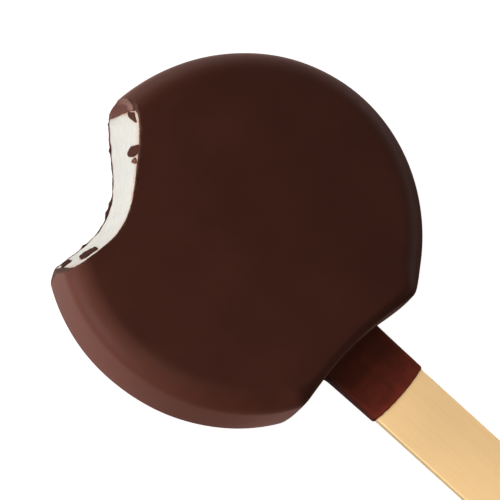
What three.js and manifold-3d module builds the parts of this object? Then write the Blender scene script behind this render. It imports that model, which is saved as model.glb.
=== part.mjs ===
// A round ice cream bar in a thin chocolate coat, on a flat wooden stick, with one bite taken out.
//
// The bar lies on its back: +Z is up, +Y points to its round tip and the stick runs toward -Y.
// The origin is the middle of the flat back. Lengths are millimetres and angles are radians.

import * as THREE from 'three';
import { mergeVertices } from 'three/addons/utils/BufferGeometryUtils.js';
import Module from 'manifold-3d';

const { degToRad, lerp, smoothstep } = THREE.MathUtils;

// The bar's outline: a near circle cut off by a slightly hollow base.
const HALF_WIDTH = 38;
const HALF_LENGTH = 36.9;
const BASE_DISTANCE = 31.6;
const BASE_HOLLOW = 1.85;
const BASE_HALF_WIDTH = 16;
const BASE_STARTS_BELOW = 0.25;
const CORNER_SOFTNESS = 0.37;
const UNEVENNESS = 0.46;
const UNEVEN_TURN = degToRad(13);

// The bar's section: round edges, a faintly bulging side and a faintly crowned front. The edge
// round the front tightens along the base, as -sin of the angle goes from one value to the other.
const THICKNESS = 22;
const FRONT_EDGE = 5;
const BASE_EDGE = 1.8;
const BASE_EDGE_FROM = 0.8;
const BASE_EDGE_FULL = 0.95;
const BACK_EDGE = 3;
const FRONT_CROWN = 0.5;
const SIDE_BULGE = 0.3;

// The coat, and the clearance between the coat and the ice cream in it.
const SIDE_COAT = 1.6;
const FACE_COAT = 1.2;
const CORE_GAP = 0.3;

// The stick, which leans a little from the bar's own axis.
const STICK_LENGTH = 94;
const STICK_WIDTH = 14.3;
const STICK_THICKNESS = 2;
const STICK_EASED_EDGE = 0.3;
const STICK_BARE_END = -82;
const STICK_OFFSET = -1.8;
const STICK_LEAN = degToRad(3.9);
const STICK_GAP = 0.15;

// The skin that the coat leaves on the stick below the bar.
const SKIN_END = -45.4;
const SKIN_ROOT = 1;
const SKIN_THICK = 0.45;
const SKIN_THIN = 0.3;
const SKIN_FILLET = 0.4;
const SKIN_FILLET_REACH = 0.6;
const SKIN_CORNER = 0.6;
const SKIN_THINNING_AT_END = 0.5;
const SKIN_RINGS = [0, 0.06, 0.1, 0.16, 0.26, 0.5, 0.8, 0.97, 1];
const SKIN_CORNER_STEPS = 4;

// The bite: a leaning wall of tooth marks, given at the back, at height 0, and at the front.
const BITE_BACK = { x: -25.5, y: 51.6, radius: 31.1, depth: 0.87, turn: degToRad(-67.5) };
const BITE_FRONT = { x: -25.5, y: 45.5, radius: 28.6, depth: 0.66, turn: degToRad(-79.5) };
const TOOTH_MARK = degToRad(55.4);
const BITE_OVERRUN = 2;
const BITE_SEAM = degToRad(-270);

// The crumbly relief of the bite's wall: waves in radians per millimetre along it and up it.
const CRUMB_RELIEF = 0.12;
const CRUMB_WAVES = [{ along: 1.9, up: 0.8 }, { along: -0.5, up: 1.3 }, { along: 0.9, up: -1.7 }];
const LONG_CRUMB_SHARE = 0.7;

// At its upper end the bite's wall turns into the bite as a lip.
const LIP = 2.9;
const LIP_FROM = 33;
const LIP_FULL = 37;
const LIP_FULL_HEIGHT = 11;

// At its lower end, in this direction from the bar's middle, the coat's corner is broken back.
const CORNER_TURN = degToRad(145);
const CORNER_LEAN = 0.2;
const CORNER_BREAK = 2.6;
const CORNER_BREAK_FROM = 35.4;
const CORNER_BREAK_FULL = 39.5;

// Dark chips in the ice cream, by the angle along the bite and the height they show at.
const CHIPS = [
  { name: 'upper wedge', angle: -29, height: 16.6, wide: 3, tall: 6.6, tilt: -9 },
  { name: 'lump under the coat', angle: -44.3, height: 16.8, wide: 3.6, tall: 8.6, tilt: 10 },
  { name: 'small crumb', angle: -48.7, height: 18.2, wide: 2.2, tall: 4.2, tilt: 0 },
  { name: 'long sliver', angle: -89.8, height: 15.4, wide: 5.6, tall: 9.6, tilt: 2 },
  { name: 'low sliver', angle: -95.2, height: 5.8, wide: 4, tall: 9.6, tilt: -13 },
];
const CHIP_DEPTH = 2.8;
const CHIP_STANDS_OUT = 0.55;

// How finely the round forms are divided.
const OUTSIDE_FINENESS = { around: 120, edge: 4, side: 2, crown: 3 };
const INSIDE_FINENESS = { around: 80, edge: 3, side: 1, crown: 2 };
const BITE_AROUND = 150;
const BITE_LEVELS = 13;
const STICK_END_SEGMENTS = 14;

const wasm = await Module();
wasm.setup();

/** The solid of a closed geometry. Triangles that collapse at a pole are left out. */
function toSolid(geometry) {
  const bare = geometry.clone();
  bare.deleteAttribute('normal');
  bare.deleteAttribute('uv');
  const merged = mergeVertices(bare, 1e-4);
  const corners = [];
  for (let i = 0; i < merged.index.count; i += 3) {
    const [a, b, c] = [0, 1, 2].map((step) => merged.index.getX(i + step));
    if (a !== b && b !== c && c !== a) corners.push(a, b, c);
  }
  const mesh = new wasm.Mesh({
    numProp: 3,
    vertProperties: merged.attributes.position.array,
    triVerts: new Uint32Array(corners),
  });
  return new wasm.Manifold(mesh);
}

/** The geometry of a solid. */
function toGeometry(solid) {
  const { vertProperties, triVerts, numProp } = solid.getMesh();
  const geometry = new THREE.BufferGeometry();
  const positions = new THREE.InterleavedBuffer(vertProperties, numProp);
  geometry.setAttribute('position', new THREE.InterleavedBufferAttribute(positions, 3, 0));
  geometry.setIndex(new THREE.BufferAttribute(triVerts, 1));
  return geometry;
}

/** A closed body through rings of as many points each, from the lowest ring to the highest. */
function loft(rings) {
  const around = rings[0].length;
  const points = rings.flat();
  const index = [];
  for (let level = 0; level + 1 < rings.length; level += 1) {
    for (let i = 0; i < around; i += 1) {
      const a = level * around + i;
      const b = level * around + ((i + 1) % around);
      index.push(a, b, b + around, a, b + around, a + around);
    }
  }
  const middle = (ring) => {
    const sum = ring.reduce((total, point) => total.add(point), new THREE.Vector3());
    return sum.divideScalar(around);
  };
  const bottom = points.push(middle(rings[0])) - 1;
  const top = points.push(middle(rings.at(-1))) - 1;
  const last = (rings.length - 1) * around;
  for (let i = 0; i < around; i += 1) {
    const next = (i + 1) % around;
    index.push(bottom, next, i, top, last + i, last + next);
  }
  return new THREE.BufferGeometry().setFromPoints(points).setIndex(index);
}

/** The bar's outline as a radius at an angle, drawn in by an inset. */
function outline(angle, inset) {
  const width = HALF_WIDTH - inset;
  const length = HALF_LENGTH - inset;
  const oval = (width * length) / Math.hypot(length * Math.cos(angle), width * Math.sin(angle));
  const round = oval + UNEVENNESS * Math.cos(3 * (angle - UNEVEN_TURN));
  const down = -Math.sin(angle);
  if (down < BASE_STARTS_BELOW) return round;
  const base = BASE_DISTANCE - inset;
  const across = (base * Math.cos(angle)) / down;
  const flat = (base + BASE_HOLLOW * (across / BASE_HALF_WIDTH) ** 2) / down;
  const rounding = Math.log1p(Math.exp(-Math.abs(round - flat) / CORNER_SOFTNESS));
  return Math.min(round, flat) - CORNER_SOFTNESS * rounding;
}

/** The radius of the edge round the front, at an angle round the bar. */
function frontRadius(angle) {
  return lerp(FRONT_EDGE, BASE_EDGE, smoothstep(-Math.sin(angle), BASE_EDGE_FROM, BASE_EDGE_FULL));
}

/**
 * The bar's section at an angle, as steps of inset and height, from the rim of the flat back to the
 * front.
 */
function section(angle, side, face, fineness) {
  const top = THICKNESS - face - FRONT_CROWN;
  const backEdge = BACK_EDGE - face;
  const frontEdge = frontRadius(angle) - face;
  const quarter = Array.from({ length: fineness.edge + 1 }, (_, i) => {
    const turn = (i / fineness.edge) * (Math.PI / 2);
    return { inset: 1 - Math.sin(turn), height: 1 - Math.cos(turn) };
  });
  const back = quarter.map(({ inset, height }) => ({
    inset: side + backEdge * inset,
    height: face + backEdge * height,
  }));
  const front = quarter.reverse().map(({ inset, height }) => ({
    inset: side + frontEdge * inset,
    height: top - frontEdge * height,
  }));
  const wall = Array.from({ length: fineness.side - 1 }, (_, i) => ({
    inset: side,
    height: lerp(face + backEdge, top - frontEdge, (i + 1) / fineness.side),
  }));
  const reach = BASE_DISTANCE - side - frontEdge;
  const crown = Array.from({ length: fineness.crown }, (_, i) => {
    const inward = (i + 1) / (fineness.crown + 1);
    const rise = FRONT_CROWN * (1 - (1 - inward) ** 2);
    return { inset: side + frontEdge + reach * inward, height: top + rise };
  });
  return [...back, ...wall, ...front, ...crown];
}

/** The bar's form, drawn in by a side and a face thickness. */
function barSolid(side, face, fineness) {
  const middle = THICKNESS / 2;
  const columns = Array.from({ length: fineness.around }, (_, i) => {
    const angle = (i / fineness.around) * 2 * Math.PI;
    return section(angle, side, face, fineness).map(({ inset, height }) => {
      const drawnIn = inset + SIDE_BULGE * ((height - middle) / middle) ** 2;
      const radius = outline(angle, drawnIn);
      return new THREE.Vector3(radius * Math.cos(angle), radius * Math.sin(angle), height);
    });
  });
  const rings = columns[0].map((_, level) => columns.map((column) => column[level]));
  return toSolid(loft(rings));
}

/** How far the bite's wall stands into the bite near the rim: the lip, less the broken corner. */
function rimReach(x, y, height) {
  const lip = LIP * smoothstep(y, LIP_FROM, LIP_FULL) * smoothstep(height, 0, LIP_FULL_HEIGHT);
  const outward = x * Math.cos(CORNER_TURN) + y * Math.sin(CORNER_TURN);
  const toCorner = outward - CORNER_LEAN * height;
  return lip - CORNER_BREAK * smoothstep(toCorner, CORNER_BREAK_FROM, CORNER_BREAK_FULL);
}

/** A point of the bite's wall, moved into the bite by a distance. */
function biteWall(angle, height, out = 0) {
  const up = height / THICKNESS;
  const at = (key) => lerp(BITE_BACK[key], BITE_FRONT[key], up);
  const marks = at('depth') * Math.cos(((angle - at('turn')) / TOOTH_MARK) * 2 * Math.PI);
  const arc = angle * at('radius');
  const [one, two, long] = CRUMB_WAVES.map(({ along, up: rise }) =>
    Math.sin(along * arc + rise * height),
  );
  const crumbs = one * two + LONG_CRUMB_SHARE * long;
  const centre = new THREE.Vector3(at('x'), at('y'), height);
  const outward = new THREE.Vector3(Math.cos(angle), Math.sin(angle), 0);
  const rough = at('radius') + marks + CRUMB_RELIEF * crumbs;
  const { x, y } = centre.clone().addScaledVector(outward, rough);
  return centre.addScaledVector(outward, rough - rimReach(x, y, height) - out);
}

/** What the bite takes away. The seam of its tooth marks lies on the side away from the bar. */
function biteSolid() {
  const rings = Array.from({ length: BITE_LEVELS }, (_, level) => {
    const up = level / (BITE_LEVELS - 1);
    const height = lerp(-BITE_OVERRUN, THICKNESS + BITE_OVERRUN, up);
    return Array.from({ length: BITE_AROUND }, (__, i) =>
      biteWall(BITE_SEAM + (i / BITE_AROUND) * 2 * Math.PI, height),
    );
  });
  return toSolid(loft(rings));
}

/** One chip: a flat shard set into the bite's wall, standing a little proud of it. */
function chipSolid({ angle, height, wide, tall, tilt }) {
  const turn = degToRad(angle);
  const place = biteWall(turn, height, CHIP_STANDS_OUT - CHIP_DEPTH / 2);
  const out = new THREE.Vector3(-Math.cos(turn), -Math.sin(turn), 0);
  const up = biteWall(turn, THICKNESS).sub(biteWall(turn, 0)).normalize();
  const along = new THREE.Vector3().crossVectors(up, out).normalize();
  const facing = new THREE.Vector3().crossVectors(along, up);
  const frame = new THREE.Matrix4().makeBasis(along, up, facing).setPosition(place);
  const shard = new THREE.DodecahedronGeometry(1)
    .scale(wide / 2, tall / 2, CHIP_DEPTH / 2)
    .rotateZ(degToRad(tilt))
    .applyMatrix4(frame);
  return toSolid(shard);
}

/** The stick lying along Y about its own middle, made larger all round by a clearance. */
function stickGeometry(clearance) {
  const half = STICK_WIDTH / 2 + clearance;
  const straight = STICK_LENGTH / 2 - STICK_WIDTH / 2;
  const shape = new THREE.Shape();
  shape.absarc(0, straight, half, 0, Math.PI, false);
  shape.absarc(0, -straight, half, Math.PI, 2 * Math.PI, false);
  const thickness = STICK_THICKNESS + 2 * clearance;
  const geometry = new THREE.ExtrudeGeometry(shape, {
    depth: thickness - 2 * STICK_EASED_EDGE,
    curveSegments: STICK_END_SEGMENTS,
    bevelThickness: STICK_EASED_EDGE,
    bevelSize: STICK_EASED_EDGE,
    bevelOffset: -STICK_EASED_EDGE,
    bevelSegments: 1,
  });
  return geometry.translate(0, 0, STICK_EASED_EDGE - thickness / 2);
}

/** Where the stick's centre line stands across the bar, at a place along the bar. */
function stickCentre(y) {
  return STICK_OFFSET - y * Math.tan(STICK_LEAN);
}

const stickMiddle = STICK_BARE_END + (STICK_LENGTH / 2) * Math.cos(STICK_LEAN);
const stickPlace = new THREE.Vector3(stickCentre(stickMiddle), stickMiddle, THICKNESS / 2);

/** The skin on the stick: rings round the stick from inside the base to the skin's thin end. */
function skinSolid() {
  const start = SKIN_ROOT - BASE_DISTANCE;
  const reach = start - SKIN_END;
  const rings = SKIN_RINGS.map((part) => {
    const y = start - part * reach;
    const fromBase = Math.max(0, -BASE_DISTANCE - y);
    const fillet = SKIN_FILLET * Math.exp(-fromBase / SKIN_FILLET_REACH);
    const share = part === 1 ? SKIN_THINNING_AT_END : 1;
    const skin = STICK_GAP + share * lerp(SKIN_THICK, SKIN_THIN, part) + fillet;
    const halfWidth = (STICK_WIDTH / 2 + skin) / Math.cos(STICK_LEAN);
    const halfHeight = STICK_THICKNESS / 2 + skin;
    const corner = SKIN_CORNER * halfHeight;
    const ring = [];
    for (let quarter = 0; quarter < 4; quarter += 1) {
      const right = quarter === 0 || quarter === 3 ? 1 : -1;
      const upper = quarter < 2 ? 1 : -1;
      for (let i = 0; i <= SKIN_CORNER_STEPS; i += 1) {
        const turn = (quarter + i / SKIN_CORNER_STEPS) * (Math.PI / 2);
        const x = right * (halfWidth - corner) + corner * Math.cos(turn);
        const z = upper * (halfHeight - corner) + corner * Math.sin(turn);
        ring.push(new THREE.Vector3(stickCentre(y) + x, y, THICKNESS / 2 + z));
      }
    }
    return ring;
  });
  return toSolid(loft(rings));
}

/** The room that the stick takes in the coat or the ice cream. */
function stickRoom(clearance) {
  const geometry = stickGeometry(clearance).rotateZ(STICK_LEAN);
  return toSolid(geometry.translate(stickPlace.x, stickPlace.y, stickPlace.z));
}

const bite = biteSolid();

const coat = barSolid(0, 0, OUTSIDE_FINENESS)
  .subtract(barSolid(SIDE_COAT, FACE_COAT, INSIDE_FINENESS))
  .add(skinSolid())
  .subtract(stickRoom(STICK_GAP))
  .subtract(bite);

const coreForm = barSolid(SIDE_COAT + CORE_GAP, FACE_COAT + CORE_GAP, INSIDE_FINENESS);
const core = CHIPS.map(chipSolid).reduce(
  (filling, chip) => filling.add(chip.intersect(coreForm)),
  coreForm.subtract(bite).subtract(stickRoom(CORE_GAP)),
);

const chocolate = new THREE.MeshStandardMaterial({ color: '#3e201a', roughness: 0.4, metalness: 0 });
const iceCream = new THREE.MeshStandardMaterial({ color: '#edede6', roughness: 0.8, metalness: 0 });
const wood = new THREE.MeshStandardMaterial({ color: '#eac38a', roughness: 0.7, metalness: 0 });

const coatMesh = new THREE.Mesh(toGeometry(coat), chocolate);
coatMesh.name = 'chocolate_coat';

const coreMesh = new THREE.Mesh(toGeometry(core), iceCream);
coreMesh.name = 'ice_cream';

const stickMesh = new THREE.Mesh(stickGeometry(0), wood);
stickMesh.name = 'stick';
stickMesh.position.copy(stickPlace);
stickMesh.rotation.z = STICK_LEAN;

const bar = new THREE.Group();
bar.add(coatMesh, coreMesh, stickMesh);

export default bar;
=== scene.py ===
"""The finished look of a bitten ice cream bar: coat, filling, chips, stick and the skin on the stick.

Lengths are metres in the frame of the packed solids: the bar lies on its back, +Z is up, +Y points
to its round tip and the stick runs toward -Y. Angles are radians.
"""

import math

import bmesh
import bpy
import numpy as np
from bpy.props import FloatProperty, FloatVectorProperty, IntProperty, PointerProperty
from mathutils import Matrix, Vector


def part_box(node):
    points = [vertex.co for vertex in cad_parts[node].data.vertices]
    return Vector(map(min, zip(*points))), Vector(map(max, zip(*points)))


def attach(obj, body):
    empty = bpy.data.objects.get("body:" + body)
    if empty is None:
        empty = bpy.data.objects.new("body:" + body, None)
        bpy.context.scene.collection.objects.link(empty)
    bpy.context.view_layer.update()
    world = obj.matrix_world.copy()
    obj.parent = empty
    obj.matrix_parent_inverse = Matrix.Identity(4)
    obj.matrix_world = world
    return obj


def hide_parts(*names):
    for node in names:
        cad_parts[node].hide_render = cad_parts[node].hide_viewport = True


bl_info = {
    "name": "Bitten Ice Cream Bar",
    "version": (1, 0, 0),
    "blender": (4, 5, 0),
    "location": "View3D > Sidebar > Ice Cream Bar",
    "description": "Dresses the packed solids of a bitten ice cream bar",
    "category": "Object",
}

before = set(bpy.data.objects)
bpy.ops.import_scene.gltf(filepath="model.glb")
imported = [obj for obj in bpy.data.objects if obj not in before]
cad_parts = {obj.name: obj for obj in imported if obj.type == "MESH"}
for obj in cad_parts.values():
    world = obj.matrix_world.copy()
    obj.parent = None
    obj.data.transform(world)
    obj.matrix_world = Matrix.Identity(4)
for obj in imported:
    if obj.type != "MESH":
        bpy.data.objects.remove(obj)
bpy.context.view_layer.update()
BAR_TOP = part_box("chocolate_coat")[1].z
MM = 0.001


# --- sizes and colours


def length(description, millimetres):
    """A length that a user may change."""
    return FloatProperty(
        description=description, default=millimetres * MM, unit="LENGTH", precision=5)


def turn(description, degrees):
    """An angle that a user may change."""
    return FloatProperty(description=description, default=math.radians(degrees), subtype="ANGLE")


def back_and_front(description, back, front, unit="LENGTH"):
    """A length, or an angle, at the bar's back and at its front, that a user may change."""
    one = MM if unit == "LENGTH" else math.radians(1)
    return FloatVectorProperty(
        description=f"{description}, at the bar's back and at its front",
        default=(back * one, front * one), unit=unit, precision=5, size=2)


def share(description, value):
    """A plain number that a user may change."""
    return FloatProperty(description=description, default=value)


def count(description, value):
    """A number of divisions that a user may change."""
    return IntProperty(description=description, default=value, min=3)


def colour(description, red, green, blue):
    """A colour that a user may change, given by its screen values from 0 to 255."""
    screen = np.array((red, green, blue)) / 255
    linear = np.where(screen > 0.04045, ((screen + 0.055) / 1.055) ** 2.4, screen / 12.92)
    return FloatVectorProperty(
        description=description, default=linear.tolist(), subtype="COLOR", min=0, max=1)


def named(group):
    """Gives each of a group's values its name, which is the word that the script has for it."""
    for word, value in group.__annotations__.items():
        value.keywords["name"] = word.replace("_", " ").capitalize()
    return group


@named
class BarSizes(bpy.types.PropertyGroup):
    """The bar's outline and section, and its coat."""

    half_width: length("Half of the bar across", 38)
    half_length: length("Middle of the bar to its tip", 36.9)
    base_distance: length("Middle of the bar to its base", 31.6)
    base_hollow: length("How far the base stands in at its middle", 1.85)
    base_half_width: length("Where the hollow is measured", 16)
    base_starts: share("Sine of the angle below which the base cuts the round", 0.25)
    corner_softness: length("Softness of the corners at the base", 0.37)
    unevenness: length("How far the round stands in and out", 0.46)
    uneven_turn: turn("Where the unevenness is largest", 13)
    front_edge: length("Radius of the edge round the front", 5)
    base_edge: length("Radius of the front's edge along the base", 1.8)
    base_edge_from: share("Minus the sine of the angle where the edge tightens", 0.8)
    base_edge_full: share("Minus the sine of the angle where it is tight", 0.95)
    back_edge: length("Radius of the edge round the back", 3)
    front_crown: length("How far the front's middle stands up", 0.5)
    side_bulge: length("How far the side's middle stands out", 0.3)
    ripple: length("Depth of the set coat's slow ripples", 0.03)
    side_coat: length("Thickness of the coat at the side", 1.6)
    face_coat: length("Thickness of the coat on the front and the back", 1.2)
    tip_thinning: length("Change of the tip's coat over TIP_SPAN of the bar's height", 1.75)
    thinnest: length("The least thickness of the side's coat", 0.35)
    inner_edge: length("Radius of the filling's edge round the front", 1.5)
    overlap: length("How far the filling reaches into the coat", 0.05)
    around: count("Divisions round the bar", 480)
    inside_around: count("Divisions round the filling", 160)


@named
class BiteSizes(bpy.types.PropertyGroup):
    """The bite's leaning wall, between the bar's back and its front, and its edges."""

    centre_x: back_and_front("Centre of the bite across the bar", -25.5, -25.5)
    centre_y: back_and_front("Centre of the bite along the bar", 51.6, 45.5)
    radius: back_and_front("Radius of the bite", 31.1, 28.6)
    mark_depth: back_and_front("Depth of the tooth marks", 0.87, 0.66)
    deepest: back_and_front("Where a tooth mark is deepest", -67.5, -79.5, "ROTATION")
    tooth_mark: turn("One tooth mark along the bite", 55.4)
    lip: length("How far the wall turns into the bite at its upper end", 2.9)
    lip_from: length("Where the lip starts along the bar", 33)
    lip_full: length("Where the lip is full along the bar", 37)
    lip_height: length("Height at which the lip is full", 11)
    corner_turn: turn("Direction of the coat's broken corner", 145)
    corner_lean: share("How the broken corner leans with the height", 0.2)
    corner_break: length("How far the corner is broken back", 2.6)
    corner_from: length("Where the broken corner starts", 35.4)
    corner_full: length("Where the broken corner is full", 39.5)
    horn_cut: length("How much deeper the front is bitten at the lower end", 0.62)
    edge_round: length("Rounding of the coat's bitten edge", 0.18)
    edge_nicks: length("Unevenness of the coat's bitten edge", 0.06)
    overhang: length("How far the front's coat stands out over the filling", 0.16)
    set_back: length("How far the back's coat stands back", 0.04)
    relief: length("Depth of the filling's crumbly relief", 0.07)
    recess: length("How far the filling stands behind the coat's shaded cut face", 0.06)


@named
class StickSizes(bpy.types.PropertyGroup):
    """The stick and the skin of coating on its first part."""

    length: length("The whole stick", 94)
    width: length("The stick across", 14.3)
    thickness: length("The stick through", 2)
    eased_edge: length("Rounding of the stick's long edges", 0.3)
    bare_end: length("Where the stick ends below the bar", -82)
    offset: length("The stick's middle line, beside the bar's middle", -1.8)
    lean: turn("How far the stick leans from the bar's axis", 3.9)
    skin_root: length("How far the skin starts inside the base", 2.5)
    skin_end: length("Where the skin ends at the stick's sides", -45)
    skin_bow: length("How much farther the skin runs at its middle", 0.55)
    skin_thick: length("Thickness of the skin at the bar", 0.55)
    skin_thin: length("Thickness of the skin at its end", 0.35)
    skin_fillet: length("How far the skin widens into the base", 0.25)
    skin_fillet_reach: length("How soon that widening fades", 0.5)


@named
class Colours(bpy.types.PropertyGroup):
    """The colours of the bar."""

    chocolate: colour("The coat", 53, 25, 17)
    bloom: colour("The soft sheen of the set coat", 255, 190, 176)
    cut_side: colour("The coat's cut face in the side's thick coat", 70, 44, 39)
    cut_brown: colour("Browner patches of that shaded cut face", 92, 68, 60)
    # Painted shade: the cut face of the thin coat at the front and the back is darker than the side's,
    # standing in for the shade on those bitten edges.
    shaded_cut_face: colour("The coat's cut face in the front's and the back's coat", 48, 29, 23)
    # Painted shadow: the cut face darkens to this where it meets the filling.
    cut_shadow: colour("The darkest of the coat's shaded cut face", 44, 25, 20)
    skin_dark: colour("The skin on the stick by the bar", 62, 24, 13)
    skin_light: colour("The skin on the stick at its end", 114, 44, 30)
    ice_cream: colour("The filling", 244, 241, 232)
    cream_edge: colour("The filling where it meets chocolate", 222, 176, 150)
    chip_dark: colour("The dark chips", 46, 24, 19)
    chip_light: colour("The lighter specks of the chips", 92, 62, 48)
    wood: colour("The stick", 237, 198, 143)
    wood_grain: colour("The darker grain of the stick", 224, 182, 124)
    # Painted shade: the same wood as the stick's faces, darker on the sides to hold back the strong
    # light that falls there.
    shaded_wood_side: colour("The stick's cut sides", 172, 148, 112)
    floor: colour("The pale floor", 240, 240, 240)


@named
class StageSizes(bpy.types.PropertyGroup):
    """The camera and the light."""

    camera_lean: turn("How far the camera leans to the bar's left", 19)
    camera_dip: turn("How far the camera leans to the stick", 1.39)
    camera_roll: turn("The turn of the picture", 134.17)
    camera_distance: length("Camera to the bar's middle", 700)
    picture_width: length("What the picture spans at the bar's middle", 100.75)
    aside: length("The camera's place to the right of the bar's middle", 2.45)
    below: length("The camera's place below the bar's middle", 2.26)
    light: share("Factor on the power of every lamp", 1)
    sky: share("Brightness of the surroundings", 0.01)
    ground: share("Brightness from below, past the tip", 1.2)
    floor_glow: share("How far the floor shines by itself", 1.0)


# --- the bar's form

# Shares of the bar's height: over how much of it the tip's coat changes, and where it is as thick
# as elsewhere.
TIP_SPAN, TIP_LEVEL = 0.35, 0.377
# Along the bar, where the tip starts to tell in the cut coat's colour, and where it does fully.
NEAR_TIP = 26 * MM, 32 * MM


def smoothstep(value, start, end):
    """0 below start, 1 above end and a smooth S between them."""
    part = np.clip((value - start) / (end - start), 0, 1)
    return part * part * (3 - 2 * part)


def blend(start, end, part):
    """The value that lies a part of the way from start to end."""
    return start + (end - start) * part


def bar_outline(angle, inset, bar):
    """Radius of the bar's outline at a polar angle, drawn in by an inset.

    The round is an oval, width * length / hypot(length * cos, width * sin), with a three-fold
    unevenness. The base is the line at base distance, hollow by the square of the place along it.
    The outline is the smaller of the two, with softened corners.
    """
    width = bar.half_width - inset
    long = bar.half_length - inset
    oval = width * long / np.hypot(long * np.cos(angle), width * np.sin(angle))
    round_part = oval + bar.unevenness * np.cos(3 * (angle - bar.uneven_turn))
    down = np.maximum(-np.sin(angle), bar.base_starts)
    base = bar.base_distance - inset
    across = base * np.cos(angle) / down
    flat_part = (base + bar.base_hollow * (across / bar.base_half_width) ** 2) / down
    apart = np.abs(round_part - flat_part) / bar.corner_softness
    soft = np.minimum(round_part, flat_part) - bar.corner_softness * np.log1p(np.exp(-apart))
    return np.where(-np.sin(angle) < bar.base_starts, round_part, soft)


def side_drawn_in(height, bar):
    """How far the side is drawn in at a height: the bulge times the square of the height from mid."""
    middle = BAR_TOP / 2
    return bar.side_bulge * ((height - middle) / middle) ** 2


def crown_height(x, y, bar):
    """How far the front stands up at a place: a round dome that falls to nothing at the rim."""
    return bar.front_crown * np.maximum(0, 1 - (x * x + y * y) / bar.half_width**2)


def front_radius(angle, bar):
    """Radius of the edge round the front: it tightens, by a smooth S of -sin, along the base."""
    along_base = smoothstep(-np.sin(angle), bar.base_edge_from, bar.base_edge_full)
    return blend(bar.front_edge, bar.base_edge, along_base)


def section(angle, side, face, steps, bar):
    """Inset and height, for each step and each angle: back, back edge, side, front edge, front.

    Each edge is a quarter circle, inset = radius * (1 - sin t) and height = radius * (1 - cos t).
    """
    edge_turn = np.linspace(0, math.pi / 2, steps)[:, None]
    back_edge = bar.back_edge - face
    front_edge = front_radius(angle, bar)[None, :] - face
    if side > 0:
        front_edge = np.minimum(front_edge, bar.inner_edge)
    top = BAR_TOP - bar.front_crown - face
    reach = (bar.base_distance - side - bar.front_edge) * (1 - 1 / steps)
    from_middle = side + reach * np.linspace(1, 0, 2 * steps)[:, None]
    parts = (
        (from_middle + back_edge, face),
        (side + back_edge * (1 - np.sin(edge_turn)), face + back_edge * (1 - np.cos(edge_turn))),
        (side, blend(face + back_edge, top - front_edge, np.linspace(0, 1, steps)[:, None])),
        (side + front_edge * (1 - np.sin(edge_turn[::-1])),
         top - front_edge * (1 - np.cos(edge_turn[::-1]))),
        (from_middle[::-1] + front_edge, top),
    )
    parts = [np.broadcast_arrays(*part, angle[None, :]) for part in parts]
    inset = np.vstack([part[0][:-1] for part in parts] + [parts[-1][0][-1:]])
    height = np.vstack([part[1][:-1] for part in parts] + [parts[-1][1][-1:]])
    return inset, height


def tip_coat_change(angle, height, bar):
    """How much thicker the side's coat is near the tip.

    It rises straight with the height, and fades away from the tip by the square of a cosine.
    """
    near_tip = np.cos(np.clip((angle - math.pi / 2) * 2, -math.pi / 2, math.pi / 2)) ** 2
    over_level = (height - BAR_TOP * TIP_LEVEL) / (BAR_TOP * TIP_SPAN)
    return np.maximum(bar.tip_thinning * near_tip * over_level, bar.thinnest - bar.side_coat)


def bar_rings(side, face, around, steps, bar):
    """Rings round the bar's form: the section's insets and heights carried round the outline.

    Inside the bar, where side is the coat's thickness, the tip's coat draws them in further.
    """
    angle = np.arange(around) * (2 * math.pi / around)
    inset, height = section(angle, side, face, steps, bar)
    drawn_in = inset + side_drawn_in(height, bar)
    if side > 0:
        drawn_in = drawn_in + tip_coat_change(angle, height, bar)
    radius = bar_outline(angle, drawn_in, bar)
    x, y = radius * np.cos(angle), radius * np.sin(angle)
    upper = smoothstep(height, BAR_TOP / 2, BAR_TOP - bar.front_edge)
    return np.stack([x, y, height + upper * crown_height(x, y, bar)], axis=-1)


def rippled(rings, bar):
    """The rings with slow ripples in the front's height and in the radius. The back has none."""
    x, y, z = np.moveaxis(rings, -1, 0)
    swell = bar.ripple * waves((x, y, z), (31 * MM, 23 * MM, 17 * MM, 12 * MM), seed=3)
    swell = swell * smoothstep(z, 0.2 * MM, bar.back_edge)
    up = z + swell * smoothstep(z, BAR_TOP - bar.front_edge, BAR_TOP)
    wider = 1 + swell / bar.half_width
    return np.stack([x * wider, y * wider, up], axis=-1)


def inner_rings(overlap, bar):
    """Rings round the inside of the coat, or reaching into it by an overlap."""
    return bar_rings(
        bar.side_coat - overlap, bar.face_coat - overlap, bar.inside_around, 8, bar)


def walls_near(places, bar):
    """How far each place lies from the bar's side, from its front and from its back.

    The side is told along the outline's radius at the place's angle, the others straight up and down.
    """
    x, y, z = places
    from_side = bar_outline(np.arctan2(y, x), side_drawn_in(z, bar), bar) - np.hypot(x, y)
    return from_side, BAR_TOP - bar.front_crown + crown_height(x, y, bar) - z, z


def depth_in_bar(places, bar):
    """How deep a place lies under the bar's surface, as seen in the bar's section.

    In an edge it is radius - hypot(radius - from side, radius - from face), elsewhere the smaller.
    """
    from_side, from_front, from_back = walls_near(places, bar)

    def in_edge(radius, from_face):
        corner = radius - np.hypot(radius - from_side, radius - from_face)
        both = (from_side < radius) & (from_face < radius)
        return np.where(both, corner, np.minimum(from_side, from_face))

    edge = front_radius(np.arctan2(places[1], places[0]), bar)
    return np.minimum(in_edge(edge, from_front), in_edge(bar.back_edge, from_back))


def inside_coat(places, bar):
    """How far places lie inside the coat's inner wall; in the coat it is negative."""
    x, y, z = places
    from_side, from_front, from_back = walls_near(places, bar)
    in_side = from_side - bar.side_coat - tip_coat_change(np.arctan2(y, x), z, bar)
    return np.minimum(in_side, np.minimum(from_front, from_back) - bar.face_coat)


def side_coat_share(places, bar):
    """1 where the cut coat is the side's thick coat, 0 where it is the thin coat of a face.

    It is a smooth S of how much nearer the side is than the face. Away from the tip the side has to
    be nearer by more, and the share is weaker.
    """
    from_side, from_front, from_back = walls_near(places, bar)
    at_tip = smoothstep(places[1], *NEAR_TIP)
    beyond = np.minimum(from_front, from_back) - from_side - blend(2 * MM, 0, at_tip)
    return smoothstep(beyond, -0.4 * MM, 1.2 * MM) * blend(0.3, 1, at_tip)


# --- the bite's form

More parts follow.
